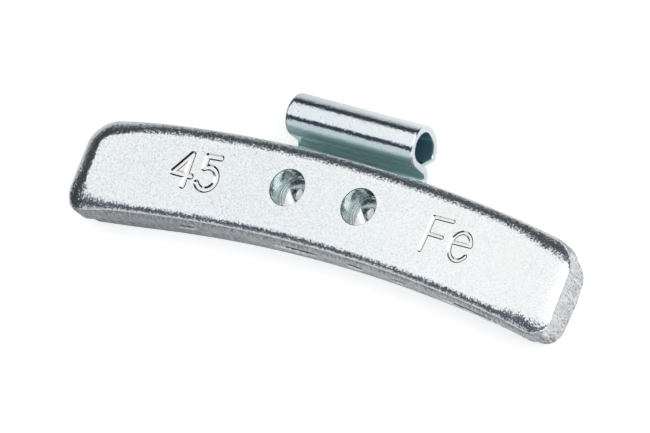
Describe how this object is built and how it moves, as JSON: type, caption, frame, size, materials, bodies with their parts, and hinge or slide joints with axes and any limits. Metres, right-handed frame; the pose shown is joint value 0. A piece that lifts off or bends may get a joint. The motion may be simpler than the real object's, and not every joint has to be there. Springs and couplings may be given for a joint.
{
  "type": "clip-on wheel balance weight",
  "caption": "Arc-shaped steel balance weight with a rolled spring clip staked into its back, for a car wheel's rim flange.",
  "frame": {"origin": "middle of the body's plan, in the flat back face that lies against the rim", "axes": "+X along the weight, +Y towards the clip and the rim's edge, +Z out of the front face"},
  "size_m": [0.0726, 0.0227, 0.0066],
  "materials": {
    "body_zinc": "bright zinc plating with a fine grain",
    "clip_zinc": "smooth bright zinc plating"
  },
  "bodies": {
    "root": {"weight_body": "body_zinc", "spring_clip": "clip_zinc"}
  },
  "joints": []
}
